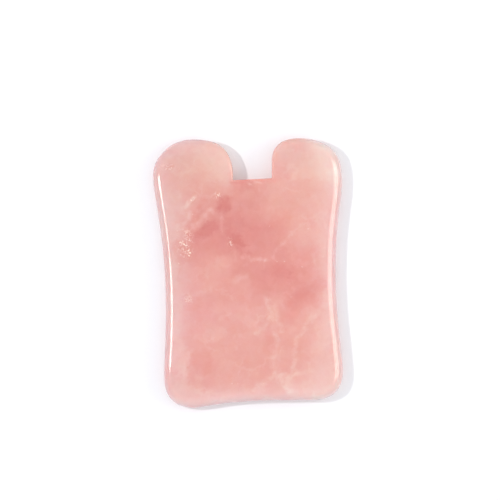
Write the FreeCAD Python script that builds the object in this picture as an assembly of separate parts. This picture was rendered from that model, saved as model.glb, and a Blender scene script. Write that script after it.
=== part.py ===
import FreeCAD, Part
import math
import os
from FreeCAD import Vector

# Gua sha board: one hand-sized plate of polished stone with two rounded lobes at one
# end and a square notch between them. The whole model is one solid.
#
# Frame: the plate lies flat, thickness along +Z, length along +Y with the lobes and the
# notch at the +Y end. Origin: the middle of the plate's width and length, on the
# underside. Left is -X. All sizes in millimetres.

# ---- driving dimensions -------------------------------------------------------------
BOARD_LENGTH = 80.0          # base edge to the top of the taller (right) lobe
BOARD_WIDTH = 56.32          # across the lower right corner and the left lobe
THICKNESS = 6.0              # flat face to flat face

RIM_FLAT = 0.10              # upright band left between the upper and lower rim rounds
RIM_RADIUS = (THICKNESS - RIM_FLAT) / 2
NOTCH_RIM_RADIUS = 0.50      # small round along the notch's walls and floor
NOTCH_CORNER_RADIUS = 0.40   # inside corners of the notch, in plan

# Stations, here and in the tables below, are measured from the middle of the width (x)
# and the base edge (y), for the nominal length and width.
NOMINAL_LENGTH = 80.0
NOMINAL_WIDTH = 56.32

NOTCH_LEFT_X = -4.45         # left wall of the notch
NOTCH_RIGHT_X = 7.10         # right wall of the notch
NOTCH_FLOOR_LEFT_Y = 67.52   # the floor climbs slightly to the right
NOTCH_FLOOR_RIGHT_Y = 68.08

# ---- plan outline -------------------------------------------------------------------
# Stations (x, y), from the top of the notch's left wall, over the left lobe, down the
# left side, along the base edge, up the right side and over the right lobe to the top
# of the notch's right wall.
LEFT_LOBE = [
    (NOTCH_LEFT_X, 69.81), (-4.89, 72.60), (-6.09, 75.57), (-8.52, 78.01),
    (-13.01, 79.41), (-17.86, 79.53), (-22.40, 78.07), (-25.85, 75.05), (-27.95, 70.88),
]
LEFT_SIDE = [                # long hollow side, waist about a third of the way up
    (-27.98, 66.26), (-26.87, 58.59), (-25.25, 46.58), (-24.41, 33.62),
    (-24.42, 22.62), (-24.78, 13.59),
]
BASE_LEFT_CORNER = [(-24.81, 8.05), (-23.94, 4.27), (-21.11, 1.20), (-17.28, 0.06)]
BASE_EDGE = [(-11.55, 0.64), (-1.16, 1.87), (9.83, 2.24), (18.06, 2.29)]
BASE_RIGHT_CORNER = [(22.33, 2.66), (25.83, 4.41), (27.77, 7.72), (28.07, 13.05)]
RIGHT_SIDE = [               # long hollow side, waist near mid length
    (27.02, 23.22), (26.12, 36.23), (26.27, 49.22), (27.16, 58.74), (27.93, 65.39),
]
RIGHT_LOBE = [
    (27.66, 71.10), (26.06, 75.60), (23.11, 78.08), (18.14, 79.78), (12.95, 79.81),
    (9.22, 78.31), (7.33, 75.32), (NOTCH_RIGHT_X, 72.04),
]
OUTLINE_STATIONS = (LEFT_LOBE + LEFT_SIDE + BASE_LEFT_CORNER + BASE_EDGE
                    + BASE_RIGHT_CORNER + RIGHT_SIDE + RIGHT_LOBE)

# Lobe crowns, where the shoulders on the notch side reach the full rim radius.
LEFT_CROWN = LEFT_LOBE[4]
RIGHT_CROWN = RIGHT_LOBE[3]
CROWN_TOLERANCE = 0.05       # how near a crown a vertex counts as being on it


def plan_point(station):
    """Station scaled to the board's size and moved into its frame."""
    x, y = station
    return Vector(x * BOARD_WIDTH / NOMINAL_WIDTH,
                  y * BOARD_LENGTH / NOMINAL_LENGTH - BOARD_LENGTH / 2, 0)


def outline_curve(points):
    """Smooth curve through the points, meeting both notch walls tangentially."""
    # Chord-length parameters, so that a unit end tangent is a natural one.
    chords = [0.0]
    for start, end in zip(points, points[1:]):
        chords.append(chords[-1] + (end - start).Length)
    curve = Part.BSplineCurve()
    curve.interpolate(Points=points, Parameters=chords, Scale=False,
                      InitialTangent=Vector(0, 1, 0),
                      FinalTangent=Vector(0, -1, 0))
    return curve


def inside_corner(before, corner, after, radius):
    """Start, middle and end of the arc tangent to the two lines that meet at corner."""
    to_before = (before - corner).normalize()
    to_after = (after - corner).normalize()
    half_angle = to_before.getAngle(to_after) / 2
    setback = radius / math.tan(half_angle)
    centre = corner + (to_before + to_after).normalize() * (radius / math.sin(half_angle))
    middle = centre + (corner - centre).normalize() * radius
    return corner + to_before * setback, middle, corner + to_after * setback


def notch_edges(left_top, right_top):
    """Two straight walls, a nearly level floor and two small inside corners."""
    floor_left = plan_point((NOTCH_LEFT_X, NOTCH_FLOOR_LEFT_Y))
    floor_right = plan_point((NOTCH_RIGHT_X, NOTCH_FLOOR_RIGHT_Y))
    right_arc = inside_corner(right_top, floor_right, floor_left, NOTCH_CORNER_RADIUS)
    left_arc = inside_corner(floor_right, floor_left, left_top, NOTCH_CORNER_RADIUS)
    return [
        Part.makeLine(right_top, right_arc[0]),
        Part.Arc(*right_arc).toShape(),
        Part.makeLine(right_arc[2], left_arc[0]),
        Part.Arc(*left_arc).toShape(),
        Part.makeLine(left_arc[2], left_top),
    ]


def rim_radius_at(vertex, crowns):
    """Rim radius at a vertex of the blank: full on the lobe crowns, small elsewhere."""
    point = Vector(vertex.Point.x, vertex.Point.y, 0)
    nearest = min((point - crown).Length for crown in crowns)
    return RIM_RADIUS if nearest < CROWN_TOLERANCE else NOTCH_RIM_RADIUS


def round_rims(blank, crowns):
    """Round the rims of both faces, blending between the radii at each edge's ends."""
    doc = FreeCAD.newDocument("board")
    base = doc.addObject("Part::Feature", "blank")
    base.Shape = blank
    rounded = doc.addObject("Part::Fillet", "rounded")
    rounded.Base = base
    edge_radii = []          # edge number, radius at its start, radius at its end
    for number, edge in enumerate(base.Shape.Edges, start=1):
        heights = {round(vertex.Point.z, 4) for vertex in edge.Vertexes}
        if len(heights) != 1:
            continue         # upright edges are tangent joins
        # Ends are taken by the edge's own curve, so both faces blend the same way.
        edge_radii.append((number,
                           rim_radius_at(edge.firstVertex(False), crowns),
                           rim_radius_at(edge.lastVertex(False), crowns)))
    rounded.Edges = edge_radii
    doc.recompute()
    return rounded.Shape.Solids[0]


def stone_board():
    points = [plan_point(station) for station in OUTLINE_STATIONS]
    outline = outline_curve(points)
    # Splitting at the crowns gives each shoulder its own edge, for the growing round.
    left_crown = outline.parameter(plan_point(LEFT_CROWN))
    right_crown = outline.parameter(plan_point(RIGHT_CROWN))
    edges = [
        outline.toShape(outline.FirstParameter, left_crown),   # left lobe's shoulder
        outline.toShape(left_crown, right_crown),              # the long way round
        outline.toShape(right_crown, outline.LastParameter),   # right lobe's shoulder
    ] + notch_edges(points[0], points[-1])
    plan = Part.Wire(Part.__sortEdges__(edges))
    blank = Part.Face(plan).extrude(Vector(0, 0, THICKNESS))
    return round_rims(blank, [outline.value(left_crown), outline.value(right_crown)])


os.makedirs("parts", exist_ok=True)
stone_board().exportStep("parts/stone_board.step")
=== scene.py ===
import math

import bpy
import numpy as np
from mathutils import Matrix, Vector, noise
from mathutils.geometry import delaunay_2d_cdt


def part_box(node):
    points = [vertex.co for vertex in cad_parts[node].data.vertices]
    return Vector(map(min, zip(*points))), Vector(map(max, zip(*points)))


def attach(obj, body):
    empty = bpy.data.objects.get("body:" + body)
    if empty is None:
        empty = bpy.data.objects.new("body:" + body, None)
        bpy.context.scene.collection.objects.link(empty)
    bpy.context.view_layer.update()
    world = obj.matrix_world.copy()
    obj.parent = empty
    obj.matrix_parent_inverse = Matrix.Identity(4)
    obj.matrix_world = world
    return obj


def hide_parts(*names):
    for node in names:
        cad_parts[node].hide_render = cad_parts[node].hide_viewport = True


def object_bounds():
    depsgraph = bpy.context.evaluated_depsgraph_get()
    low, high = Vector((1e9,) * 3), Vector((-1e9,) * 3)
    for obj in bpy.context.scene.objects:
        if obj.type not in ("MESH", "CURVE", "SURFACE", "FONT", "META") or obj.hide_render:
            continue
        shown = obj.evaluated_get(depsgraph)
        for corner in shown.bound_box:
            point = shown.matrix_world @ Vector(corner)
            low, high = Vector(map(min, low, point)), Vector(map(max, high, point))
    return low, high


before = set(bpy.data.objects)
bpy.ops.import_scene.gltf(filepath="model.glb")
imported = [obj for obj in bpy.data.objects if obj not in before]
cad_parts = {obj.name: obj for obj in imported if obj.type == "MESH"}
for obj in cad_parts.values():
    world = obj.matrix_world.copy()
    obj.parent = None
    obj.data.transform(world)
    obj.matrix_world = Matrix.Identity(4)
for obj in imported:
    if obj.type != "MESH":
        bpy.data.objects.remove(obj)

cad_lo, cad_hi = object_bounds()
box_lo, box_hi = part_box("stone_board")
MM = 0.001
T = (box_hi[2] - box_lo[2]) / MM  # thickness of the board

# ------------------------------------------------------------------ outline
# Stations of the board's outline, mm in the row frame, anticlockwise from the
# top of the notch's left wall round to the top of its right wall.
STATIONS = [
    (-4.45, 29.81), (-4.89, 32.60), (-6.09, 35.57), (-8.52, 38.01), (-13.01, 39.41),
    (-17.86, 39.53), (-22.40, 38.07), (-25.85, 35.05), (-27.95, 30.88),
    (-27.98, 26.26), (-26.87, 18.59), (-25.25, 6.58), (-24.41, -6.38), (-24.42, -17.38),
    (-24.78, -26.41),
    (-24.81, -31.95), (-23.94, -35.73), (-21.11, -38.80), (-17.28, -39.94),
    (-11.55, -39.36), (-1.16, -38.13), (9.83, -37.76), (18.06, -37.71),
    (22.33, -37.34), (25.83, -35.59), (27.77, -32.28), (28.07, -26.95),
    (27.02, -16.78), (26.12, -3.77), (26.27, 9.22), (27.16, 18.74), (27.93, 25.39),
    (27.66, 31.10), (26.06, 35.60), (23.11, 38.08), (18.14, 39.78), (12.95, 39.81),
    (9.22, 38.31), (7.33, 35.32), (7.10, 32.04),
]
LEFT_CROWN, RIGHT_CROWN = STATIONS[4], STATIONS[35]
NOTCH_FLOOR_LEFT = (-4.45, 27.52)
NOTCH_FLOOR_RIGHT = (7.10, 28.08)
NOTCH_CORNER = 0.40
RIM, NOTCH_RIM = 2.95, 0.50
STEP = 0.38


def clamped_spline(points, start, end):
    """Hermite slopes of the twice-smooth cubic through the points, by chord length."""
    P = np.array(points, float)
    h = np.linalg.norm(np.diff(P, axis=0), axis=1)
    n = len(P)
    A, B = np.zeros((n, n)), np.zeros((n, 2))
    A[0, 0] = A[-1, -1] = 1.0
    B[0], B[-1] = start, end
    for i in range(1, n - 1):
        A[i, i - 1], A[i, i], A[i, i + 1] = h[i], 2 * (h[i - 1] + h[i]), h[i - 1]
        B[i] = 3 * (h[i] / h[i - 1] * (P[i] - P[i - 1]) + h[i - 1] / h[i] * (P[i + 1] - P[i]))
    M = np.linalg.solve(A, B)
    pts, tan = [], []
    for i in range(n - 1):
        t = np.linspace(0, 1, 120, endpoint=(i == n - 2))[:, None]
        a, b = P[i], P[i + 1]
        m, k = M[i] * h[i], M[i + 1] * h[i]
        pts.append((2 * t**3 - 3 * t**2 + 1) * a + (t**3 - 2 * t**2 + t) * m
                   + (-2 * t**3 + 3 * t**2) * b + (t**3 - t**2) * k)
        tan.append((6 * t**2 - 6 * t) * a + (3 * t**2 - 4 * t + 1) * m
                   + (-6 * t**2 + 6 * t) * b + (3 * t**2 - 2 * t) * k)
    pts, tan = np.vstack(pts), np.vstack(tan)
    return pts, tan / np.linalg.norm(tan, axis=1)[:, None]


def resample(pts, tan, step):
    s = np.concatenate([[0], np.cumsum(np.linalg.norm(np.diff(pts, axis=0), axis=1))])
    n = max(2, int(round(s[-1] / step)) + 1)
    q = np.linspace(0, s[-1], n)
    out = np.column_stack([np.interp(q, s, pts[:, k]) for k in (0, 1)])
    t = np.column_stack([np.interp(q, s, tan[:, k]) for k in (0, 1)])
    return out, t / np.linalg.norm(t, axis=1)[:, None], q


def straight(a, b, step):
    a, b = np.array(a, float), np.array(b, float)
    n = max(2, int(round(np.linalg.norm(b - a) / step)) + 1)
    t = np.linspace(0, 1, n)[:, None]
    d = (b - a) / np.linalg.norm(b - a)
    return a + (b - a) * t, np.repeat(d[None], n, 0)


def corner_arc(before, corner, after, r, n=9):
    """The arc that rounds a corner, and where it touches the two lines."""
    c = np.array(corner, float)
    u = np.array(before, float) - c; u /= np.linalg.norm(u)
    v = np.array(after, float) - c; v /= np.linalg.norm(v)
    half = math.acos(float(np.clip(u @ v, -1, 1))) / 2
    a, b = c + u * r / math.tan(half), c + v * r / math.tan(half)
    bis = (u + v) / np.linalg.norm(u + v)
    o = c + bis * r / math.sin(half)
    a0, a1 = math.atan2(*(a - o)[::-1]), math.atan2(*(b - o)[::-1])
    turn = (a1 - a0 + math.pi) % (2 * math.pi) - math.pi
    ang = a0 + turn * np.linspace(0, 1, n)
    pts = o + r * np.column_stack([np.cos(ang), np.sin(ang)])
    sgn = 1 if turn > 0 else -1
    tan = sgn * np.column_stack([-np.sin(ang), np.cos(ang)])
    return pts, tan, a, b


def outline():
    """Closed loop of points, unit tangents and rim radii, interior on the left."""
    fine, tan = clamped_spline(STATIONS, (0, 1), (0, -1))
    body, bt, s = resample(fine, tan, STEP)
    sl = s[np.argmin(np.linalg.norm(body - LEFT_CROWN, axis=1))]
    sr = s[np.argmin(np.linalg.norm(body - RIGHT_CROWN, axis=1))]
    f = np.minimum(np.clip(s / sl, 0, 1), np.clip((s[-1] - s) / (s[-1] - sr), 0, 1))
    rad = NOTCH_RIM + (RIM - NOTCH_RIM) * f
    top_r, top_l = STATIONS[-1], STATIONS[0]
    c1, t1, a1, b1 = corner_arc(top_r, NOTCH_FLOOR_RIGHT, NOTCH_FLOOR_LEFT, NOTCH_CORNER)
    c2, t2, a2, b2 = corner_arc(NOTCH_FLOOR_RIGHT, NOTCH_FLOOR_LEFT, top_l, NOTCH_CORNER)
    w1, wt1 = straight(top_r, a1, STEP)
    fl, ft = straight(b1, a2, STEP)
    w2, wt2 = straight(b2, top_l, STEP)
    P = np.vstack([body, w1[1:-1], c1, fl[1:-1], c2, w2[1:-1]])
    D = np.vstack([bt, wt1[1:-1], t1, ft[1:-1], t2, wt2[1:-1]])
    R = np.concatenate([rad, np.full(len(P) - len(body), NOTCH_RIM)])
    return P, D, R


def fit_to_box(P):
    """The outline's extent, set to the CAD solid's own."""
    lo, hi = P.min(0), P.max(0)
    blo = np.array([box_lo[0], box_lo[1]]) / MM
    bhi = np.array([box_hi[0], box_hi[1]]) / MM
    blo = np.maximum(blo, lo - 0.03)
    bhi = np.minimum(bhi, hi + 0.03)
    return blo + (P - lo) / (hi - lo) * (bhi - blo)


# ------------------------------------------------------------------ edge profile
ROWS = 14  # from the upper flat's border down to mid thickness
POWER = 2.2  # a little fuller than a circle, as a tumbled edge is


def half_profile(r):
    """Inward offset and height, from the flat's border to mid thickness, for a rim of radius r."""
    w, h = r * 1.085, min(r, T / 2 - 0.01)
    th = np.linspace(math.pi / 2, 0, 160)
    d = w * (1 - np.clip(np.cos(th), 0, 1) ** (2 / POWER))
    z = T - h + h * np.clip(np.sin(th), 0, 1) ** (2 / POWER)
    wall = np.linspace(T - h, T / 2, 30)[1:]
    d, z = np.concatenate([d, np.zeros(len(wall))]), np.concatenate([z, wall])
    seg = np.hypot(np.diff(d), np.diff(z)) + 1e-9
    ang = np.unwrap(np.arctan2(np.diff(z), np.diff(d)))
    bend = np.abs(np.gradient(ang)) / seg
    bend = np.convolve(np.clip(bend, 0, 3.0), np.ones(7) / 7, "same")
    m = np.concatenate([[0], np.cumsum(seg * (0.18 + np.sqrt(bend)))])
    q = np.linspace(0, m[-1], ROWS)
    return np.interp(q, m, d), np.interp(q, m, z)


# ------------------------------------------------------------------ pits
# Tiny open fractures left by the polish, mm: x, y, radius, depth, and how pale each is painted, partly its whitened
# fracture and partly a painted glint.
PITS = [
    (-17.35, 9.75, 0.20, 0.07, 0.8), (-20.05, 9.05, 0.24, 0.08, 0.9), (-19.60, 8.85, 0.15, 0.05, 0.9),
    (-18.90, 8.50, 0.30, 0.11, 1.0), (-18.45, 8.10, 0.16, 0.06, 0.8), (-19.15, 7.00, 0.20, 0.07, 0.7),
    (-18.60, 6.40, 0.18, 0.07, 0.7), (-17.60, 6.70, 0.22, 0.08, 0.9), (-17.15, 6.00, 0.28, 0.10, 1.0),
    (-17.40, 5.15, 0.24, 0.08, 0.9), (-19.85, 5.40, 0.16, 0.05, 0.6), (-18.35, 11.80, 0.20, 0.06, 0.5),
    (-18.00, 11.10, 0.13, 0.05, 0.6), (-20.90, 12.50, 0.16, 0.05, 0.3), (-18.20, 7.45, 0.12, 0.04, 0.6),
    (-8.85, 23.05, 0.26, 0.09, 0.8), (-8.40, 23.60, 0.15, 0.06, 0.6), (-9.25, 22.55, 0.16, 0.06, 0.6),
    (-8.10, 22.70, 0.13, 0.05, 0.5), (-9.60, 23.40, 0.12, 0.04, 0.5),
    (-16.15, 22.45, 0.20, 0.06, 0.4), (-16.55, 21.70, 0.16, 0.05, 0.3), (-16.80, 21.00, 0.14, 0.05, 0.2),
    (-22.60, 31.10, 0.20, 0.06, 0.5), (-24.10, 31.75, 0.15, 0.05, 0.4), (-16.35, 17.40, 0.15, 0.05, 0.4),
    (-18.30, -8.40, 0.20, 0.06, 0.5), (-16.80, -7.10, 0.15, 0.05, 0.4), (-17.90, -7.60, 0.12, 0.04, 0.4),
    (-5.20, 9.30, 0.17, 0.06, 0.6), (-5.05, 8.40, 0.13, 0.04, 0.4),
    (6.40, 13.85, 0.14, 0.04, 0.35), (17.80, 13.10, 0.18, 0.05, 0.4), (10.80, 3.45, 0.16, 0.05, 0.45),
    (8.60, 3.40, 0.15, 0.05, 0.4), (16.00, 1.85, 0.17, 0.05, 0.4), (22.25, 4.80, 0.15, 0.05, 0.4),
    (-4.70, -32.70, 0.16, 0.05, 0.3), (-3.00, -32.75, 0.14, 0.05, 0.3), (12.70, -7.10, 0.15, 0.05, 0.3),
    (4.60, -32.70, 0.15, 0.05, 0.3), (-20.50, 2.80, 0.20, 0.06, 0.5),
]
rng = np.random.default_rng(417)
UNDER_PITS = [
    (float(x), float(y), float(r), float(r) * 0.33, 0.5)
    for x, y, r in zip(rng.normal(9.0, 4.5, 16), rng.normal(-11.0, 7.0, 16), rng.uniform(0.12, 0.28, 16))
]


def inside(points, loop):
    x, y = points[:, 0], points[:, 1]
    hit = np.zeros(len(points), bool)
    a, b = loop, np.roll(loop, -1, 0)
    for (x0, y0), (x1, y1) in zip(a, b):
        if y0 == y1:
            continue
        cross = (y0 > y) != (y1 > y)
        hit ^= cross & (x < (x1 - x0) * (y - y0) / (y1 - y0) + x0)
    return hit


def away(points, loop):
    """Distance of each point to the loop."""
    best = np.full(len(points), 1e9)
    a, b = loop, np.roll(loop, -1, 0)
    for p, q in zip(a, b):
        e = q - p
        t = np.clip(((points - p) @ e) / (e @ e), 0, 1)
        d = points - (p + t[:, None] * e)
        best = np.minimum(best, np.hypot(d[:, 0], d[:, 1]))
    return best


def flat_fill(loop, pits, grid):
    """Even triangles inside the loop, with finer rings round each pit."""
    lo, hi = loop.min(0), loop.max(0)
    rows = []
    for j, y in enumerate(np.arange(lo[1], hi[1], grid * 0.866)):
        xs = np.arange(lo[0] + (grid / 2 if j % 2 else 0), hi[0], grid)
        rows.append(np.column_stack([xs, np.full(len(xs), y)]))
    pts = np.vstack(rows)
    pts = pts + rng.uniform(-0.06, 0.06, pts.shape) * grid
    pts = pts[inside(pts, loop)]
    pts = pts[away(pts, loop) > grid * 0.55]
    extra = []
    for px, py, r, _, _ in pits:
        pts = pts[np.hypot(pts[:, 0] - px, pts[:, 1] - py) > 1.55 * r + 0.10]
    for i, (px, py, r, _, _) in enumerate(pits):
        ring = [(px, py)]
        for k, f in enumerate((0.34, 0.62, 0.86, 1.08, 1.45)):
            n = 6 + 2 * k
            for m in range(n):
                a = 2 * math.pi * (m + 0.5 * (k % 2)) / n + i
                ring.append((px + f * r * math.cos(a), py + f * r * math.sin(a)))
        ring = np.array(ring)
        if extra:
            gap = np.min(np.linalg.norm(ring[:, None] - np.vstack(extra)[None], axis=2), axis=1)
            ring = ring[gap > 0.05]
        ring = ring[inside(ring, loop)]
        if len(ring):
            extra.append(ring[away(ring, loop) > 0.05])
    if extra:
        pts = np.vstack([pts] + extra)
    n = len(loop)
    coords = [Vector(p) for p in np.vstack([loop, pts])]
    v, _, f, ids, _, _ = delaunay_2d_cdt(coords, [], [list(range(n))], 1, 1e-7)
    first = {i: min(o) for i, o in enumerate(ids) if o}
    tris = [tuple(first[i] for i in t) for t in f if all(i in first for i in t)]
    return pts, [t for t in tris if len(set(t)) == 3]


def pit_depth(x, y, pits):
    """Depth of the pits and how much of a chip each point is."""
    depth, chip = np.zeros(len(x)), np.zeros(len(x))
    for i, (px, py, r, dep, pale_and_glint) in enumerate(pits):
        near = np.flatnonzero(np.hypot(x - px, y - py) < 2 * r)
        for k in near:
            dx, dy = x[k] - px, y[k] - py
            a = math.atan2(dy, dx)
            edge = r * (1 + 0.22 * math.sin(2 * a + i) + 0.13 * math.sin(5 * a + 2.1 * i))
            q = math.hypot(dx, dy) / edge
            if q < 1.0:
                f = 1 - q
                depth[k] = max(depth[k], dep * min(1.0, 1.9 * f) * (0.8 + 0.2 * math.cos(7 * a + i)))
            chip[k] = max(chip[k], pale_and_glint * max(0.0, min(1.0, (1.2 - q) / 0.5)))
    return depth, chip


def build_board():
    P, D, R = outline()
    P = fit_to_box(P)
    inward = np.column_stack([-D[:, 1], D[:, 0]])
    n = len(P)
    prof = [half_profile(r) for r in R]
    off = np.array([p[0] for p in prof])
    hgt = np.array([p[1] for p in prof])
    off = np.hstack([off, off[:, -2::-1]])
    hgt = np.hstack([hgt, (T - hgt)[:, -2::-1]])
    rows = off.shape[1]
    verts, edge = [], []
    for j in range(rows):
        ring = P + inward * off[:, j:j + 1]
        verts.append(np.column_stack([ring, hgt[:, j]]))
        edge.append(off[:, j])
    faces = []
    for j in range(rows - 1):
        for i in range(n):
            k = (i + 1) % n
            faces.append((j * n + i, (j + 1) * n + i, (j + 1) * n + k, j * n + k))
    top_loop = verts[0][:, :2].copy()
    low_loop = verts[-1][:, :2].copy()
    rim = np.vstack(verts)
    edge = np.concatenate(edge)

    top_pts, top_tri = flat_fill(top_loop, PITS, 0.52)
    low_pts, low_tri = flat_fill(low_loop, UNDER_PITS, 0.62)
    base_t = len(rim)
    base_l = base_t + len(top_pts)

    def map_top(i):
        return i if i < n else base_t + i - n

    def map_low(i):
        return (rows - 1) * n + i if i < n else base_l + i - n

    def ccw(t, pts, loop):
        a, b, c = [(loop[i] if i < n else pts[i - n]) for i in t]
        return (b[0] - a[0]) * (c[1] - a[1]) - (b[1] - a[1]) * (c[0] - a[0]) > 0

    for t in top_tri:
        t = t if ccw(t, top_pts, top_loop) else t[::-1]
        faces.append(tuple(map_top(i) for i in t))
    for t in low_tri:
        t = t[::-1] if ccw(t, low_pts, low_loop) else t
        faces.append(tuple(map_low(i) for i in t))

    V = np.vstack([rim,
                   np.column_stack([top_pts, np.full(len(top_pts), T)]),
                   np.column_stack([low_pts, np.zeros(len(low_pts))])])
    # how near a point is to the broad rim; the notch's tight rim counts as further off
    lag = 5.0 * (1 - (R - NOTCH_RIM) / (RIM - NOTCH_RIM))

    def to_rim(points):
        best = np.full(len(points), 1e9)
        for (px, py), extra in zip(P[::2], lag[::2]):
            best = np.minimum(best, np.hypot(points[:, 0] - px, points[:, 1] - py) + extra)
        return best

    edge = np.concatenate([np.minimum(to_rim(rim[:, :2]), edge + np.tile(lag, rows)),
                           to_rim(top_pts), to_rim(low_pts)])

    # hand polish: the surface wanders inwards by a few hundredths of a millimetre
    nrm = np.zeros_like(V)
    nrm[base_t:base_l, 2] = 1
    nrm[base_l:, 2] = -1
    grid = rim.reshape(rows, n, 3)
    along = np.roll(grid, -1, 1) - np.roll(grid, 1, 1)
    across = np.gradient(grid, axis=0)
    rn = np.cross(across, along)
    rn /= np.linalg.norm(rn, axis=2)[:, :, None]
    rn[0], rn[-1] = (0, 0, 1), (0, 0, -1)
    mid = rows // 2
    if (rn[mid, :, :2] * -inward).sum() < 0:
        rn[1:-1] *= -1
    nrm[:base_t] = rn.reshape(-1, 3)
    wob = np.array([noise.noise(Vector(v) / 11.0) * 0.7 + noise.noise(Vector(v) / 4.5) * 0.22
                    for v in V])
    amount = 0.011 + 0.011 * np.clip(wob * 1.3, -1, 1)
    wide = np.concatenate([np.tile(np.clip((R - NOTCH_RIM) / 1.2, 0.15, 1), rows),
                           np.ones(len(top_pts) + len(low_pts))])
    V = V - nrm * (amount * wide)[:, None]

    chip = np.zeros(len(V))
    for sl, pits, sign in ((slice(base_t, base_l), PITS, -1), (slice(base_l, len(V)), UNDER_PITS, 1)):
        depth, c = pit_depth(V[sl, 0], V[sl, 1], pits)
        V[sl, 2] += sign * depth
        chip[sl] = c

    mesh = bpy.data.meshes.new("stone_board_skin")
    mesh.from_pydata([tuple(v * MM) for v in V], [], faces)
    mesh.validate()
    mesh.update()
    mesh.polygons.foreach_set("use_smooth", [True] * len(mesh.polygons))
    for name, data in (("edge_mm", edge), ("chip", chip)):
        att = mesh.attributes.new(name, "FLOAT", "POINT")
        att.data.foreach_set("value", data.astype(np.float32))
    return mesh


# ------------------------------------------------------------------ rose quartz
# The stone's clouding: x, y, reach along and across in mm, turn in degrees, how deep
# or pale, in eight steps, and how firm the cloud's border is.
HEART, DEEP, ROSE, BLUSH, SOFT, PALE, MILKY, WHITE = -26, -18, -12, -7, 6, 12, 18, 26
CLOUDS = [
    # deep rose heart below the notch, with darker bands in it
    (-3.0, 12.5, 11.5, 7.5, 8, HEART, 1.0),
    (-12.5, 13.0, 3.5, 1.8, 38, DEEP, 1.8),
    (-7.3, 20.3, 2.1, 2.0, 0, HEART, 1.8),
    (-5.9, 15.2, 1.0, 2.6, 5, BLUSH, 1.2),
    (-2.5, 8.6, 3.7, 1.7, -48, DEEP, 1.6),
    (-15.7, 9.5, 1.2, 3.0, 0, ROSE, 1.0),
    (-18.4, 6.8, 2.2, 2.6, 0, BLUSH, 1.0),
    (-2.5, 1.5, 2.2, 1.9, 0, ROSE, 1.0),
    (-2.4, 26.1, 3.6, 1.2, 0, DEEP, 1.0),
    # painted shade: a thin darker line along the small rim of the notch floor
    (-1.0, 27.3, 5.5, 0.45, 3, ROSE, 1.0),
    # rose patch right of the middle, and the slanting one under it
    (8.0, -1.0, 6.8, 3.7, 0, DEEP, 1.5),
    (12.5, -0.6, 2.4, 1.7, 0, BLUSH, 1.0),
    (15.0, 4.0, 5.0, 4.0, 0, BLUSH, 1.0),
    (16.6, -6.4, 5.2, 2.2, 37, DEEP, 1.3),
    (13.0, -4.8, 2.5, 1.2, 0, ROSE, 1.0),
    (8.0, -6.8, 2.4, 1.2, 0, BLUSH, 1.0),
    (3.0, -7.0, 1.8, 2.0, 0, ROSE, 1.0),
    (12.0, -13.0, 2.4, 2.0, 30, BLUSH, 1.0),
    # fainter ones in the lower half
    (-10.5, -8.0, 3.4, 2.0, 20, BLUSH, 1.0),
    (-4.8, -7.2, 2.6, 2.4, -30, BLUSH, 1.2),
    (6.5, -19.0, 2.2, 4.0, 0, BLUSH, 1.0),
    (-13.9, -26.8, 3.7, 3.6, 0, BLUSH, 4.0),
    # pale lobes
    (-15.5, 31.5, 9.0, 6.0, -10, SOFT, 1.2),
    (-17.5, 35.5, 2.5, 2.0, 0, SOFT, 1.0),
    (-10.0, 33.0, 4.0, 4.0, 0, PALE, 1.0),
    (-5.8, 32.5, 2.4, 4.6, 0, PALE, 1.0),
    (-7.3, 36.2, 1.6, 2.6, -30, SOFT, 1.0),
    (-6.6, 26.7, 1.6, 1.0, 0, MILKY, 1.0),
    (16.0, 30.0, 8.0, 7.5, 0, PALE, 1.2),
    (10.0, 37.0, 2.0, 1.6, 30, PALE, 1.0),
    (23.0, 33.0, 3.2, 5.2, 10, WHITE, 1.0),
    (23.6, 26.0, 2.2, 3.6, 0, PALE, 1.0),
    # milky clearing below the notch's right corner, and its slanting tail
    (8.0, 19.3, 3.6, 2.5, 0, PALE, 1.0),
    (17.5, 16.0, 5.5, 3.2, 35, PALE, 1.0),
    (17.0, 10.0, 2.6, 2.2, 0, PALE, 1.0),
    # pale flanks
    (-22.0, 16.5, 3.4, 6.0, 8, MILKY, 1.0),
    (-22.0, 1.2, 0.9, 3.2, 0, PALE, 1.0),
    (-20.5, -20.0, 1.9, 16.0, 0, PALE, 1.0),
    (22.4, 8.0, 2.0, 5.0, 0, MILKY, 1.0),
    (22.9, 19.0, 1.2, 2.2, 0, SOFT, 1.0),
    (23.6, -6.0, 1.0, 5.0, 0, PALE, 1.0),
    (-7.0, 3.0, 2.6, 1.7, 0, MILKY, 1.0),
    # veils across the lower half
    (7.9, -15.2, 1.1, 2.8, 8, PALE, 1.2),
    (1.5, -15.0, 3.4, 2.4, 0, SOFT, 1.0),
    (-11.0, -18.5, 3.0, 2.6, 0, SOFT, 1.0),
    (8.5, -28.0, 1.6, 5.6, 0, SOFT, 1.2),
    (17.8, -13.2, 7.0, 1.7, 36, SOFT, 1.0),
    (22.6, -18.0, 3.0, 5.0, 0, MILKY, 1.0),
    (23.0, -31.0, 3.4, 5.0, 0, MILKY, 1.0),
    (18.0, -32.0, 4.0, 3.0, 0, PALE, 1.0),
    (13.2, -34.3, 3.0, 1.5, -50, PALE, 1.2),
    (-18.6, -28.4, 1.1, 2.6, 0, MILKY, 1.2),
    # pale base edge
    (-18.0, -34.3, 3.0, 1.2, 0, PALE, 1.0),
    (0.0, -37.2, 30.0, 2.0, 3, PALE, 1.0),
    (-11.0, -38.2, 5.5, 0.9, -5, SOFT, 1.0),
    (1.5, -34.6, 3.0, 1.2, 0, SOFT, 1.0),
]

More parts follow.
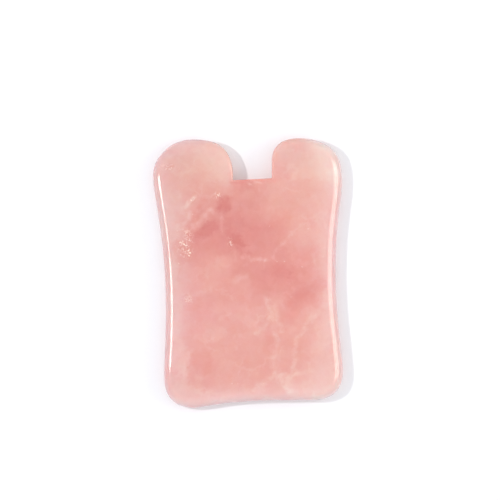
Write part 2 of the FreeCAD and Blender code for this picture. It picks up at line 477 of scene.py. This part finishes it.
# Thin bright healed cracks, as chains of points, then width and strength.
VEINS = [
    ([(13.0, 11.6), (9.3, 7.6), (7.9, 5.5)], 0.60, 10),
    ([(7.7, 4.4), (4.6, 4.2), (0.9, 4.1), (-1.2, 4.9)], 0.75, 15),
    ([(4.9, 4.0), (4.8, 1.0)], 0.40, 7),
    ([(-0.3, -0.7), (-3.2, -1.8)], 0.90, 9),
    ([(-9.2, -5.0), (-7.0, -5.3)], 0.45, 6),
    ([(-8.2, -13.7), (-5.2, -12.0)], 0.55, 6),
    ([(22.9, -9.6), (20.4, -12.0)], 1.20, 4),
    ([(19.6, -12.8), (17.1, -16.0), (14.6, -19.5), (13.9, -22.5), (13.8, -25.3), (13.3, -28.2)], 0.80, 10),
    ([(5.7, -7.8), (6.4, -9.9), (6.7, -13.3)], 1.00, 12),
    ([(8.2, -9.2), (8.4, -11.2), (9.0, -14.4), (9.9, -17.0)], 0.75, 12),
    ([(8.0, -17.6), (8.9, -20.8), (7.5, -24.8), (7.5, -27.6)], 0.90, 8),
    ([(10.2, -30.4), (16.6, -29.6)], 0.80, 9),
    ([(2.4, -17.8), (5.0, -16.0), (6.4, -13.4)], 0.65, 9),
    ([(9.3, -31.2), (10.6, -32.9), (12.4, -34.6)], 1.20, 12),
    ([(-17.6, -23.4), (-17.8, -27.2)], 0.45, 6),
    ([(-15.6, -17.4), (-15.6, -19.4)], 0.55, 5),
    ([(19.0, -2.4), (13.2, -4.8)], 0.85, 6),
    # painted highlight: this one is no crack but the glint along the small rim of the notch floor
    ([(0.6, 26.5), (4.0, 26.8)], 0.50, 14),
    ([(19.2, 5.0), (19.8, -1.0)], 0.80, 5),
    ([(-15.7, 22.5), (-17.8, 20.5), (-19.2, 18.9)], 0.80, 16),
    ([(-11.2, 18.6), (-12.8, 16.4), (-14.6, 14.5), (-15.6, 13.4)], 1.15, 14),
    ([(-14.0, 19.2), (-15.6, 16.9), (-16.6, 15.4)], 1.00, -6),
    ([(-7.5, 16.5), (-8.1, 13.5), (-7.4, 11.4)], 0.55, 10),
    ([(-5.3, 9.5), (-3.9, 6.8), (-3.5, 3.9)], 0.45, 7),
    ([(-21.0, 13.2), (-18.4, 14.9), (-17.0, 17.6)], 0.80, 11),
    ([(7.8, -29.8), (4.6, -32.6), (1.6, -34.6)], 0.85, 9),
    ([(14.4, -29.2), (11.2, -31.8)], 0.90, 8),
    ([(-16.6, -7.6), (-14.0, -5.7), (-10.8, -4.6)], 0.95, 7),
]

# Warm and cool drift of the pink: x, y, reach along and across, turn, strength.
DRIFT = [
    (-13.0, 30.0, 7.0, 5.5, 0, 0.80), (17.5, 28.0, 4.4, 6.5, 0, 0.75), (8.5, 20.5, 5.0, 3.2, -35, 0.60),
    (14.0, 13.5, 4.4, 5.0, 0, 0.30), (12.0, -27.0, 9.5, 7.0, 30, 0.30), (7.3, -12.0, 1.9, 2.2, 0, 0.7),
    (15.5, -17.0, 4.0, 4.5, -30, 0.35), (-5.0, -24.0, 10.0, 5.5, 0, 0.25), (-8.0, 1.0, 5.0, 4.0, 0, 0.30),
    (-19.0, -10.0, 3.6, 10.0, 0, -0.70), (-23.0, -26.0, 2.4, 9.0, 0, -0.6), (-25.0, 22.0, 2.6, 13.0, 6, -0.5),
    (25.5, 6.0, 1.8, 18.0, 0, -0.6), (-11.0, -12.0, 2.2, 2.2, 0, -0.5), (22.0, -2.0, 2.0, 2.0, 0, -0.5),
    (0.0, -38.0, 26.0, 2.2, 2, -0.7), (-20.0, 37.0, 5.0, 2.0, 30, -0.6),
]

# Where milkier crystal takes some of the red away: x, y, reach along and across, turn, strength.
MILK = [
    (-25.0, 16.0, 5.5, 13.0, 6, 1.0), (-21.0, 35.5, 6.5, 5.0, 25, 0.85), (-23.5, -12.0, 3.2, 14.0, 0, 0.80),
    (-11.0, 26.0, 7.0, 7.5, 0, 0.42), (14.0, 36.5, 8.0, 4.0, 0, 0.50), (2.0, 24.0, 4.0, 3.0, 0, 0.30),
    (-20.0, -35.0, 6.0, 4.0, 0, 0.35), (17.0, -8.0, 7.5, 20.0, 0, -0.35),
]

# Tone against the colour it shows under the studio light.
PALETTE = [
    (136, (223, 134, 127)), (144, (227, 144, 137)), (152, (231, 152, 144)), (160, (234, 160, 151)),
    (168, (237, 168, 159)), (176, (239, 176, 167)), (184, (241, 184, 176)), (192, (243, 192, 184)),
    (200, (245, 200, 192)), (210, (247, 210, 201)), (222, (249, 222, 212)), (234, (251, 234, 225)),
]
LIGHT_LEVEL = (1.240, 1.260, 1.300)


def linear(c):
    c = c / 255
    return c / 12.92 if c <= 0.04045 else ((c + 0.055) / 1.055) ** 2.4


def rose_quartz():
    mat = bpy.data.materials.new("rose_quartz_polished")
    mat.use_nodes = True
    nt = mat.node_tree
    nt.nodes.clear()
    N, L = nt.nodes, nt.links

    def put(sock, v):
        if isinstance(v, bpy.types.NodeSocket):
            L.new(v, sock)
        else:
            sock.default_value = v

    def calc(op, *args, clamp=False):
        n = N.new("ShaderNodeMath")
        n.operation, n.use_clamp = op, clamp
        for i, a in enumerate(args):
            put(n.inputs[i], a)
        return n.outputs[0]

    def vec(op, *args):
        n = N.new("ShaderNodeVectorMath")
        n.operation = op
        for i, a in enumerate(args):
            put(n.inputs["Scale"] if op == "SCALE" and i == 1 else n.inputs[i], a)
        return n.outputs["Value" if op in ("DOT_PRODUCT", "LENGTH", "DISTANCE") else "Vector"]

    def tex_noise(v, scale, detail=2.0, rough=0.5, colour=False):
        n = N.new("ShaderNodeTexNoise")
        put(n.inputs["Vector"], v)
        n.inputs["Scale"].default_value = scale
        n.inputs["Detail"].default_value = detail
        n.inputs["Roughness"].default_value = rough
        return n.outputs[1 if colour else 0]

    def tex_cells(v, scale, feature="F1", out="Distance", smooth=0.6):
        n = N.new("ShaderNodeTexVoronoi")
        n.feature = feature
        put(n.inputs["Vector"], v)
        n.inputs["Scale"].default_value = scale
        if feature == "SMOOTH_F1":
            n.inputs["Smoothness"].default_value = smooth
        return n.outputs[out]

    def span(v, a, b, c, d, kind="LINEAR"):
        n = N.new("ShaderNodeMapRange")
        n.interpolation_type = kind
        put(n.inputs["Value"], v)
        for s, x in zip(("From Min", "From Max", "To Min", "To Max"), (a, b, c, d)):
            n.inputs[s].default_value = x
        return n.outputs[0]

    def place(v, x, y, rx, ry, turn):
        n = N.new("ShaderNodeMapping")
        n.vector_type = "TEXTURE"
        put(n.inputs["Vector"], v)
        n.inputs["Location"].default_value = (x, y, 0)
        n.inputs["Rotation"].default_value = (0, 0, math.radians(turn))
        n.inputs["Scale"].default_value = (rx, ry, 1e5)
        return n.outputs[0]

    def bell(v, x, y, rx, ry, turn, firm=1.0):
        p = place(v, x, y, rx, ry, turn)
        q = vec("DOT_PRODUCT", p, p)
        if firm != 1.0:
            q = calc("POWER", q, firm)
        return calc("POWER", math.exp(-0.5 if firm == 1.0 else -0.6), q)

    def after(v, done):
        """The same vector, worked out once the value is known, which keeps few values in hand at a time."""
        return vec("MULTIPLY_ADD", done, (1e-9, 1e-9, 1e-9), v)

    coord = N.new("ShaderNodeTexCoord")
    p = vec("SCALE", coord.outputs["Object"], 1000.0)
    sep = N.new("ShaderNodeSeparateXYZ")
    L.new(p, sep.inputs[0])
    depth = span(sep.outputs[2], 0.0, T, 1.0, 0.0)

    # the clouds drift sideways with depth, so the two faces aren't copies
    slide = vec("SUBTRACT", tex_noise(p, 0.055, 1.0, 0.5, True), (0.5, 0.5, 0.5))
    slide = vec("SCALE", slide, calc("MULTIPLY", depth, 26.0))
    w1 = vec("SCALE", vec("SUBTRACT", tex_noise(p, 0.22, 2.0, 0.55, True), (0.5, 0.5, 0.5)), 2.6)
    w2 = vec("SCALE", vec("SUBTRACT", tex_noise(p, 0.62, 4.0, 0.62, True), (0.5, 0.5, 0.5)), 3.0)
    q = vec("ADD", vec("ADD", vec("ADD", p, slide), w1), w2)

    tone = 174.0
    for i, (x, y, rx, ry, turn, amount, firm) in enumerate(CLOUDS):
        if i % 10 == 9:
            q = after(q, tone)
        tone = calc("MULTIPLY_ADD", bell(q, x, y, rx, ry, turn, firm), float(amount), tone)
    p = after(p, tone)

    # veins, each a chain of thin capsules, broken up along their length
    w3 = vec("SCALE", vec("SUBTRACT", tex_noise(p, 0.42, 3.0, 0.55, True), (0.5, 0.5, 0.5)), 2.4)
    qv = vec("ADD", vec("ADD", p, slide), w3)
    flat = vec("MULTIPLY", qv, (1.0, 1.0, 0.0))
    vein = 0.0
    for i, (chain, width, amount) in enumerate(VEINS):
        if i % 4 == 3:
            flat = after(flat, vein)
        near = None
        for (x0, y0), (x1, y1) in zip(chain, chain[1:]):
            half = math.hypot(x1 - x0, y1 - y0) / 2
            a = math.degrees(math.atan2(y1 - y0, x1 - x0))
            m = place(flat, (x0 + x1) / 2, (y0 + y1) / 2, 1.0, 1.0, a)
            m = vec("ABSOLUTE", m)
            m = vec("MAXIMUM", vec("SUBTRACT", m, (half, 0, 0)), (0, 0, 0))
            d = vec("LENGTH", m)
            near = d if near is None else calc("MINIMUM", near, d)
        line = span(near, 0.0, width * 1.7, 1.0, 0.0, "SMOOTHERSTEP")
        vein = calc("MULTIPLY_ADD", line, float(amount), vein)
    fray = span(tex_noise(p, 0.62, 2.5, 0.55), 0.32, 0.62, 0.15, 1.35)
    tone = calc("MULTIPLY_ADD", vein, fray, tone)
    p, q = after(p, tone), after(q, tone)

    # milky mottling at several sizes, and soft facets
    mott = calc("SUBTRACT", tex_noise(q, 0.16, 3.0, 0.55), 0.5)
    tone = calc("MULTIPLY_ADD", mott, 14.0, tone)
    mott = calc("SUBTRACT", tex_noise(vec("ADD", q, (31.0, 7.0, 0.0)), 0.62, 4.0, 0.6), 0.5)
    tone = calc("MULTIPLY_ADD", mott, 15.0, tone)
    cell = N.new("ShaderNodeSeparateXYZ")
    L.new(tex_cells(q, 0.23, "SMOOTH_F1", "Color", 0.35), cell.inputs[0])
    tone = calc("MULTIPLY_ADD", calc("SUBTRACT", cell.outputs[0], 0.5), 7.0, tone)
    web = span(tex_cells(q, 0.17, "DISTANCE_TO_EDGE"), 0.0, 0.11, 1.0, 0.0, "SMOOTHERSTEP")
    webmask = span(tex_noise(vec("ADD", p, (5.0, 60.0, 9.0)), 0.14, 2.0, 0.5), 0.50, 0.66, 0.0, 1.0, "SMOOTHSTEP")
    tone = calc("MULTIPLY_ADD", calc("MULTIPLY", web, webmask), 6.0, tone)

    # fibrous breaks in the crystal, drawn out along their own direction
    for x, y, along, across, turn, stretch, amount in ((-12.5, 17.0, 5.2, 3.6, 52, 0.16, 26.0),
                                                       (7.2, -11.5, 5.0, 2.2, 82, 0.14, 20.0),
                                                       (8.5, -27.0, 5.0, 1.8, 88, 0.22, 12.0)):
        fibre = vec("MULTIPLY", place(q, x, y, 1.0, 1.0, turn), (stretch, 1.15, 4e4))
        fibre = calc("SUBTRACT", tex_noise(fibre, 1.0, 3.0, 0.6), 0.5)
        fibre = calc("MULTIPLY", fibre, bell(p, x, y, along, across, turn))
        tone = calc("MULTIPLY_ADD", fibre, amount, tone)
    p = after(p, tone)
    # fracture clusters: cells painted brighter and darker, partly broken crystal and partly painted glint and shade
    cluster = 0.0
    for x, y, rx, ry, turn in ((-18.7, 7.6, 1.9, 2.4, 20), (-8.8, 23.0, 1.1, 1.0, 0), (-16.6, 21.6, 0.5, 1.0, -40),
                               (-18.2, 11.4, 1.2, 1.2, 0), (-22.9, 31.3, 2.2, 0.7, 0), (-17.9, -7.8, 1.2, 1.0, 0),
                               (-5.2, 8.9, 0.7, 1.2, 0)):
        cluster = calc("ADD", bell(p, x, y, rx * 0.8, ry * 0.8, turn), cluster)
    jag = vec("SCALE", vec("SUBTRACT", tex_noise(p, 1.1, 2.0, 0.6, True), (0.5, 0.5, 0.5)), 1.1)
    jag = vec("ADD", p, jag)
    bits = N.new("ShaderNodeSeparateXYZ")
    L.new(tex_cells(jag, 2.3, "F1", "Color"), bits.inputs[0])
    patchy = span(tex_noise(vec("ADD", p, (8.0, 8.0, 3.0)), 0.75, 3.0, 0.65), 0.38, 0.60, 0.15, 1.2, "SMOOTHSTEP")
    shatter = calc("MULTIPLY", cluster, patchy)
    tone = calc("MULTIPLY_ADD", calc("MULTIPLY", calc("SUBTRACT", bits.outputs[0], 0.62), shatter), 34.0, tone)
    p = after(p, tone)

    # painted light: the thin rims are painted paler, as light passing through them makes them look
    edge = N.new("ShaderNodeAttribute")
    edge.attribute_name = "edge_mm"
    rim = calc("POWER", math.exp(-1.0), calc("MULTIPLY", calc("MAXIMUM", edge.outputs["Fac"], 0.9), 0.42))
    tone = calc("MULTIPLY_ADD", rim, 30.0, tone)
    # painted light: the right rim, away from the key lamp, is painted paler still, where light through the stone comes
    # out
    lip = calc("POWER", math.exp(-1.0), calc("MULTIPLY", edge.outputs["Fac"], 0.8))
    painted_far_rim_light = span(sep.outputs[0], 14.0, 26.0, 0.0, 12.0, "SMOOTHSTEP")
    tone = calc("MULTIPLY_ADD", calc("MULTIPLY", lip, painted_far_rim_light), 1.0, tone)
    p, q = after(p, tone), after(q, tone)

    fac = span(tone, PALETTE[0][0], PALETTE[-1][0], 0.0, 1.0)
    ramp = N.new("ShaderNodeValToRGB")
    el = ramp.color_ramp.elements
    while len(el) < len(PALETTE):
        el.new(0.5)
    for e, (t, c) in zip(el, PALETTE):
        e.position = (t - PALETTE[0][0]) / (PALETTE[-1][0] - PALETTE[0][0])
        e.color = tuple(linear(x) / k for x, k in zip(c, LIGHT_LEVEL)) + (1.0,)
    L.new(fac, ramp.inputs[0])

    warm = 0.0
    for x, y, rx, ry, turn, amount in DRIFT:
        warm = calc("MULTIPLY_ADD", bell(q, x, y, rx, ry, turn), float(amount), warm)
    warm = calc("MULTIPLY_ADD", calc("SUBTRACT", tex_noise(vec("ADD", p, (90.0, 2.0, 1.0)), 0.30, 3.0, 0.55), 0.5), 1.6, warm)
    # the rims' painted light also cools their colour
    warm = calc("MULTIPLY_ADD", calc("POWER", math.exp(-1.0), calc("MULTIPLY", edge.outputs["Fac"], 1.1)), -1.5, warm)
    blue = calc("MULTIPLY_ADD", warm, -0.066, 1.0)
    q = after(q, warm)
    milk = 0.0
    for x, y, rx, ry, turn, amount in MILK:
        milk = calc("MULTIPLY_ADD", bell(q, x, y, rx, ry, turn), float(amount), milk)
    milk = calc("MULTIPLY_ADD", calc("SUBTRACT", tex_noise(vec("ADD", p, (15.0, 42.0, 1.0)), 0.25, 3.0, 0.55), 0.5), 0.7, milk)
    # and takes some red out at the rims, with the rims' painted light, not milkier crystal
    milk = calc("MULTIPLY_ADD", lip, 0.55, milk)
    tint = N.new("ShaderNodeCombineXYZ")
    put(tint.inputs[0], calc("MULTIPLY_ADD", milk, -0.060, 1.0))
    put(tint.inputs[1], calc("MULTIPLY_ADD", warm, 0.008, 1.0))
    put(tint.inputs[2], blue)
    colour = vec("MULTIPLY", ramp.outputs[0], tint.outputs[0])
    p = after(p, warm)

    # crystal grain: faint pale flecks, and bright splinters in the fracture clusters, whose brightness is partly
    # whitened crystal and partly painted glint
    fleck = tex_cells(vec("ADD", p, (3.0, 1.0, 0.4)), 2.1, "F1", "Distance")
    fleck = span(fleck, 0.07, 0.19, 1.0, 0.0, "SMOOTHSTEP")
    keep = tex_noise(vec("ADD", p, (12.0, 4.0, 2.0)), 0.9, 2.0, 0.5)
    fleck = calc("MULTIPLY", fleck, span(keep, 0.62, 0.74, 0.0, 0.30, "SMOOTHSTEP"))
    splinter_and_glint = calc("MULTIPLY", span(bits.outputs[1], 0.66, 0.92, 0.0, 1.0), calc("MULTIPLY", shatter, 0.95), clamp=True)
    fleck = calc("MAXIMUM", fleck, splinter_and_glint)
    # the pits' chips are painted paler, partly whitened fracture and partly painted glint
    chip = N.new("ShaderNodeAttribute")
    chip.attribute_name = "chip"
    bright = calc("MAXIMUM", calc("MULTIPLY", fleck, 0.6), calc("MULTIPLY", chip.outputs["Fac"], 0.78), clamp=True)
    mix = N.new("ShaderNodeMix")
    mix.data_type = "RGBA"
    mix.clamp_factor = True
    L.new(bright, mix.inputs["Factor"])
    L.new(colour, mix.inputs[6])
    mix.inputs[7].default_value = (0.92, 0.80, 0.68, 1.0)

    bsdf = N.new("ShaderNodeBsdfPrincipled")
    L.new(mix.outputs[2], bsdf.inputs["Base Color"])
    # polish: glassy, with faint hand marks and duller flecks
    haze = span(tex_noise(p, 0.35, 3.0, 0.6), 0.3, 0.7, 0.05, 0.11)
    rough = calc("MULTIPLY_ADD", bright, 0.35, haze)
    L.new(rough, bsdf.inputs["Roughness"])
    bsdf.inputs["IOR"].default_value = 1.544
    bsdf.inputs["Subsurface Weight"].default_value = 0.70
    bsdf.inputs["Subsurface Radius"].default_value = (1.0, 0.62, 0.56)
    bsdf.inputs["Subsurface Scale"].default_value = 0.0030
    fine = calc("ADD", calc("MULTIPLY", tex_noise(p, 1.6, 4.0, 0.6), 0.0016),
                calc("MULTIPLY", tex_noise(p, 9.0, 2.0, 0.5), 0.0003))
    scratch = tex_noise(vec("MULTIPLY", p, (9.0, 0.35, 1.0)), 1.0, 2.0, 0.5)
    fine = calc("MULTIPLY_ADD", span(scratch, 0.68, 0.74, 0.0, 1.0), -0.0004, fine)
    bump = N.new("ShaderNodeBump")
    bump.inputs["Strength"].default_value = 1.0
    bump.inputs["Distance"].default_value = MM
    L.new(fine, bump.inputs["Height"])
    L.new(bump.outputs[0], bsdf.inputs["Normal"])
    out = N.new("ShaderNodeOutputMaterial")
    L.new(bsdf.outputs[0], out.inputs["Surface"])
    return mat


board = bpy.data.objects.new("stone_board_polished", build_board())
bpy.context.scene.collection.objects.link(board)
board.data.materials.append(rose_quartz())
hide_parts("stone_board")
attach(board, "root")


# ------------------------------------------------------------------ studio
def new_object(name, data):
    o = bpy.data.objects.new(name, data)
    bpy.context.scene.collection.objects.link(o)
    return o


def floor():
    """A white sweep: matt by the stone, and evenly bright further off."""
    mesh = bpy.data.meshes.new("floor_sweep")
    radii = [0.0, 0.06, 0.14, 0.3, 0.6, 1.5, 5.0, 20.0, 60.0]
    n = 64
    verts, faces = [(0, 0, 0)], []
    for r in radii[1:]:
        verts += [(r * math.cos(2 * math.pi * i / n), r * math.sin(2 * math.pi * i / n), 0) for i in range(n)]
    faces += [(0, 1 + i, 1 + (i + 1) % n) for i in range(n)]
    for k in range(len(radii) - 2):
        a, b = 1 + k * n, 1 + (k + 1) * n
        faces += [(a + i, b + i, b + (i + 1) % n, a + (i + 1) % n) for i in range(n)]
    mesh.from_pydata(verts, [], faces)
    mat = bpy.data.materials.new("floor_white")
    mat.use_nodes = True
    nt = mat.node_tree
    nt.nodes.clear()
    N, L = nt.nodes, nt.links
    coord = N.new("ShaderNodeTexCoord")
    length = N.new("ShaderNodeVectorMath"); length.operation = "LENGTH"
    L.new(coord.outputs["Object"], length.inputs[0])
    fade = N.new("ShaderNodeMapRange"); fade.interpolation_type = "SMOOTHSTEP"
    L.new(length.outputs["Value"], fade.inputs["Value"])
    fade.inputs["From Min"].default_value = 0.10
    fade.inputs["From Max"].default_value = 0.34
    grain = N.new("ShaderNodeTexNoise")
    L.new(coord.outputs["Object"], grain.inputs["Vector"])
    grain.inputs["Scale"].default_value = 900.0
    shade = N.new("ShaderNodeMapRange")
    L.new(grain.outputs[0], shade.inputs["Value"])
    shade.inputs["To Min"].default_value = 0.852
    shade.inputs["To Max"].default_value = 0.868
    base = N.new("ShaderNodeCombineXYZ")
    for s in base.inputs:
        L.new(shade.outputs[0], s)
    matt = N.new("ShaderNodeBsdfDiffuse")
    L.new(base.outputs[0], matt.inputs["Color"])
    glow = N.new("ShaderNodeEmission")
    glow.inputs["Strength"].default_value = 1.12
    mix = N.new("ShaderNodeMixShader")
    L.new(fade.outputs[0], mix.inputs[0])
    L.new(matt.outputs[0], mix.inputs[1])
    L.new(glow.outputs[0], mix.inputs[2])
    # painted light: a pink glow is painted on the floor right beside the stone, standing in for light come through its
    # thin rim
    passed = N.new("ShaderNodeAttribute")
    passed.attribute_name = "painted_passed_light"
    pink = N.new("ShaderNodeEmission")
    pink.inputs["Color"].default_value = (1.0, 0.66, 0.66, 1)
    level = N.new("ShaderNodeMath"); level.operation = "MULTIPLY"
    L.new(passed.outputs["Fac"], level.inputs[0])
    level.inputs[1].default_value = 0.085
    L.new(level.outputs[0], pink.inputs["Strength"])
    both = N.new("ShaderNodeAddShader")
    L.new(mix.outputs[0], both.inputs[0])
    L.new(pink.outputs[0], both.inputs[1])
    out = N.new("ShaderNodeOutputMaterial")
    L.new(both.outputs[0], out.inputs["Surface"])
    mesh.materials.append(mat)
    o = new_object("floor", mesh)
    o.location.z = cad_lo[2] - 0.00002

    # a finely divided patch round the stone, to carry that painted glow
    loop = fit_to_box(outline()[0])[::2]
    xs, ys = np.arange(-34.0, 34.2, 0.4), np.arange(-46.0, 46.2, 0.4)
    gx, gy = np.meshgrid(xs, ys)
    pts = np.column_stack([gx.ravel(), gy.ravel()])
    painted_passed_light = np.exp(-np.where(inside(pts, loop), 0.0, away(pts, loop)) / 1.0)
    w = len(xs)
    quads = [(j * w + i, j * w + i + 1, (j + 1) * w + i + 1, (j + 1) * w + i)
             for j in range(len(ys) - 1) for i in range(w - 1)]
    near = bpy.data.meshes.new("floor_patch")
    near.from_pydata([(x * MM, y * MM, 0.0) for x, y in pts], [], quads)
    att = near.attributes.new("painted_passed_light", "FLOAT", "POINT")
    att.data.foreach_set("value", painted_passed_light.astype(np.float32))
    near.materials.append(mat)
    o = new_object("floor_near", near)
    o.location.z = cad_lo[2] - 0.00001


def lamp(name, where, aim, size, power, colour, diffuse=True, glossy=True, shape="RECTANGLE"):
    data = bpy.data.lights.new(name, "AREA")
    data.shape = shape
    data.size = size[0]
    if shape in ("RECTANGLE", "ELLIPSE"):
        data.size_y = size[1]
    data.energy = power
    data.color = colour
    o = new_object(name, data)
    o.location = where
    d = (Vector(aim) - Vector(where)).normalized()
    # local -Z looks at the aim and local Y lies as near +Y as it can
    z = -d
    x = Vector((0, 1, 0)).cross(z).normalized()
    y = z.cross(x)
    from mathutils import Matrix
    o.rotation_euler = Matrix((x, y, z)).transposed().to_euler()
    o.visible_camera = False
    o.visible_diffuse = diffuse
    o.visible_glossy = glossy
    o.visible_transmission = diffuse
    return o


def studio():
    top = Vector((0, 0, T * MM))
    lamp("key", (-0.360, 0.080, 0.478), top, (0.036, 0.036), 1.25, (0.975, 0.985, 1.0), glossy=False, shape="DISK")
    lamp("strip", (-0.400, 0.0030, 0.418), top, (0.25, 0.082), 0.62, (1.0, 0.99, 0.91), diffuse=False, shape="ELLIPSE")
    lamp("window", (0.44, 0.03, 0.43), top, (0.50, 0.34), 2.4, (1.0, 0.95, 0.83), diffuse=False)
    lamp("fill", (0.522, 0.036, 0.294), top, (0.18, 0.50), 0.99, (1.0, 0.985, 0.95), glossy=False)
    world = bpy.data.worlds.new("studio_room")
    bpy.context.scene.world = world
    world.use_nodes = True
    nt = world.node_tree
    nt.nodes.clear()
    N, L = nt.nodes, nt.links
    room = N.new("ShaderNodeBackground")
    room.inputs["Color"].default_value = (0.96, 0.975, 1.03, 1)
    # the room is brighter overhead than round its walls
    way = N.new("ShaderNodeTexCoord")
    height = N.new("ShaderNodeSeparateXYZ")
    L.new(way.outputs["Generated"], height.inputs[0])
    overhead = N.new("ShaderNodeMapRange")
    L.new(height.outputs[2], overhead.inputs["Value"])
    overhead.inputs["To Min"].default_value = 0.43
    overhead.inputs["To Max"].default_value = 1.14
    # what the polish mirrors near the horizon is pale wall, not the dim corner
    path = N.new("ShaderNodeLightPath")
    low = N.new("ShaderNodeMath"); low.operation = "SUBTRACT"; low.use_clamp = True
    low.inputs[0].default_value = 1.0
    L.new(height.outputs[2], low.inputs[1])
    wall = N.new("ShaderNodeMath"); wall.operation = "MULTIPLY"
    L.new(low.outputs[0], wall.inputs[0])
    L.new(path.outputs["Is Glossy Ray"], wall.inputs[1])
    total = N.new("ShaderNodeMath"); total.operation = "MULTIPLY_ADD"
    L.new(wall.outputs[0], total.inputs[0])
    total.inputs[1].default_value = 0.42
    L.new(overhead.outputs[0], total.inputs[2])
    L.new(total.outputs[0], room.inputs["Strength"])
    seen = N.new("ShaderNodeBackground")
    seen.inputs["Color"].default_value = (1.0, 1.0, 1.0, 1)
    seen.inputs["Strength"].default_value = 1.05
    mix = N.new("ShaderNodeMixShader")
    L.new(path.outputs["Is Camera Ray"], mix.inputs[0])
    L.new(room.outputs[0], mix.inputs[1])
    L.new(seen.outputs[0], mix.inputs[2])
    out = N.new("ShaderNodeOutputWorld")
    L.new(mix.outputs[0], out.inputs["Surface"])


floor()
studio()

cam_data = bpy.data.cameras.new("camera")
cam = new_object("camera", cam_data)
HEIGHT = 1.2
FIELD = 0.14832  # width of the view at mid thickness
cam_data.sensor_width = 36.0
cam_data.lens = 36.0 * HEIGHT / FIELD
cam_data.clip_start, cam_data.clip_end = 0.01, 200.0
cam.location = (0.00061, 0.00682, T / 2 * MM + HEIGHT)
bpy.context.scene.camera = cam

view = bpy.context.scene.view_settings
view.view_transform = "Standard"
view.look = "None"
view.exposure = 0.0
view.gamma = 1.0
